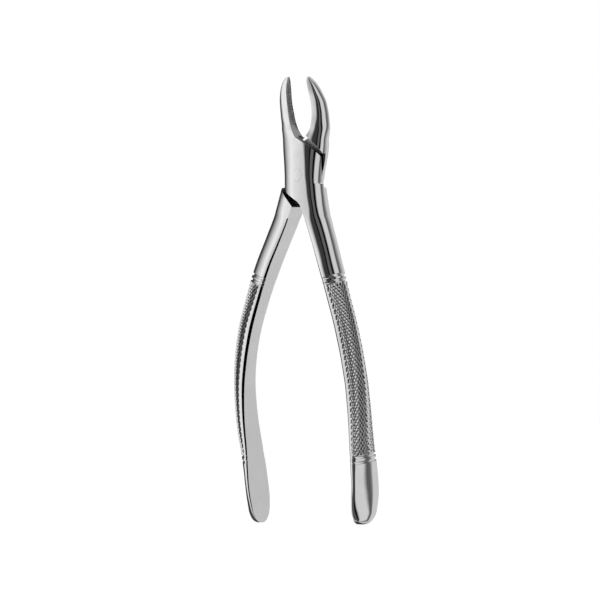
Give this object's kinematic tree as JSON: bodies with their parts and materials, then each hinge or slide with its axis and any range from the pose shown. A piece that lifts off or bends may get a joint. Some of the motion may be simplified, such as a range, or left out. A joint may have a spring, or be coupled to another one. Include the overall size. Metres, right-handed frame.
{
  "type": "extraction forceps",
  "caption": "Hand forceps for pulling teeth: two curved hollowed beaks, a lap joint on a flush rivet, and long knurled handles with spoon ends.",
  "frame": {"origin": "on the ground plane under the middle of the upright forceps, beaks up, handles half open", "axes": "+Z from the handle ends to the beaks, X across the opening plane with the front half's beak at -X, +Y to the back, along the rivet"},
  "size_m": [0.0626, 0.0192, 0.1749],
  "materials": {
    "forging_steel": "polished stainless steel, knurled on the grips",
    "rivet_steel": "polished flush with the joint"
  },
  "bodies": {
    "front_forging": {"front_half": "forging_steel", "pivot_rivet": "rivet_steel"},
    "rear_forging": {"rear_half": "forging_steel"}
  },
  "joints": [
    {"name": "beak_hinge", "type": "hinge", "parent": "front_forging", "child": "rear_forging", "pos_m": [0, -0.00128, 0.1365], "axis": [0, 1, 0], "range_deg": [-12, 22]}
  ]
}
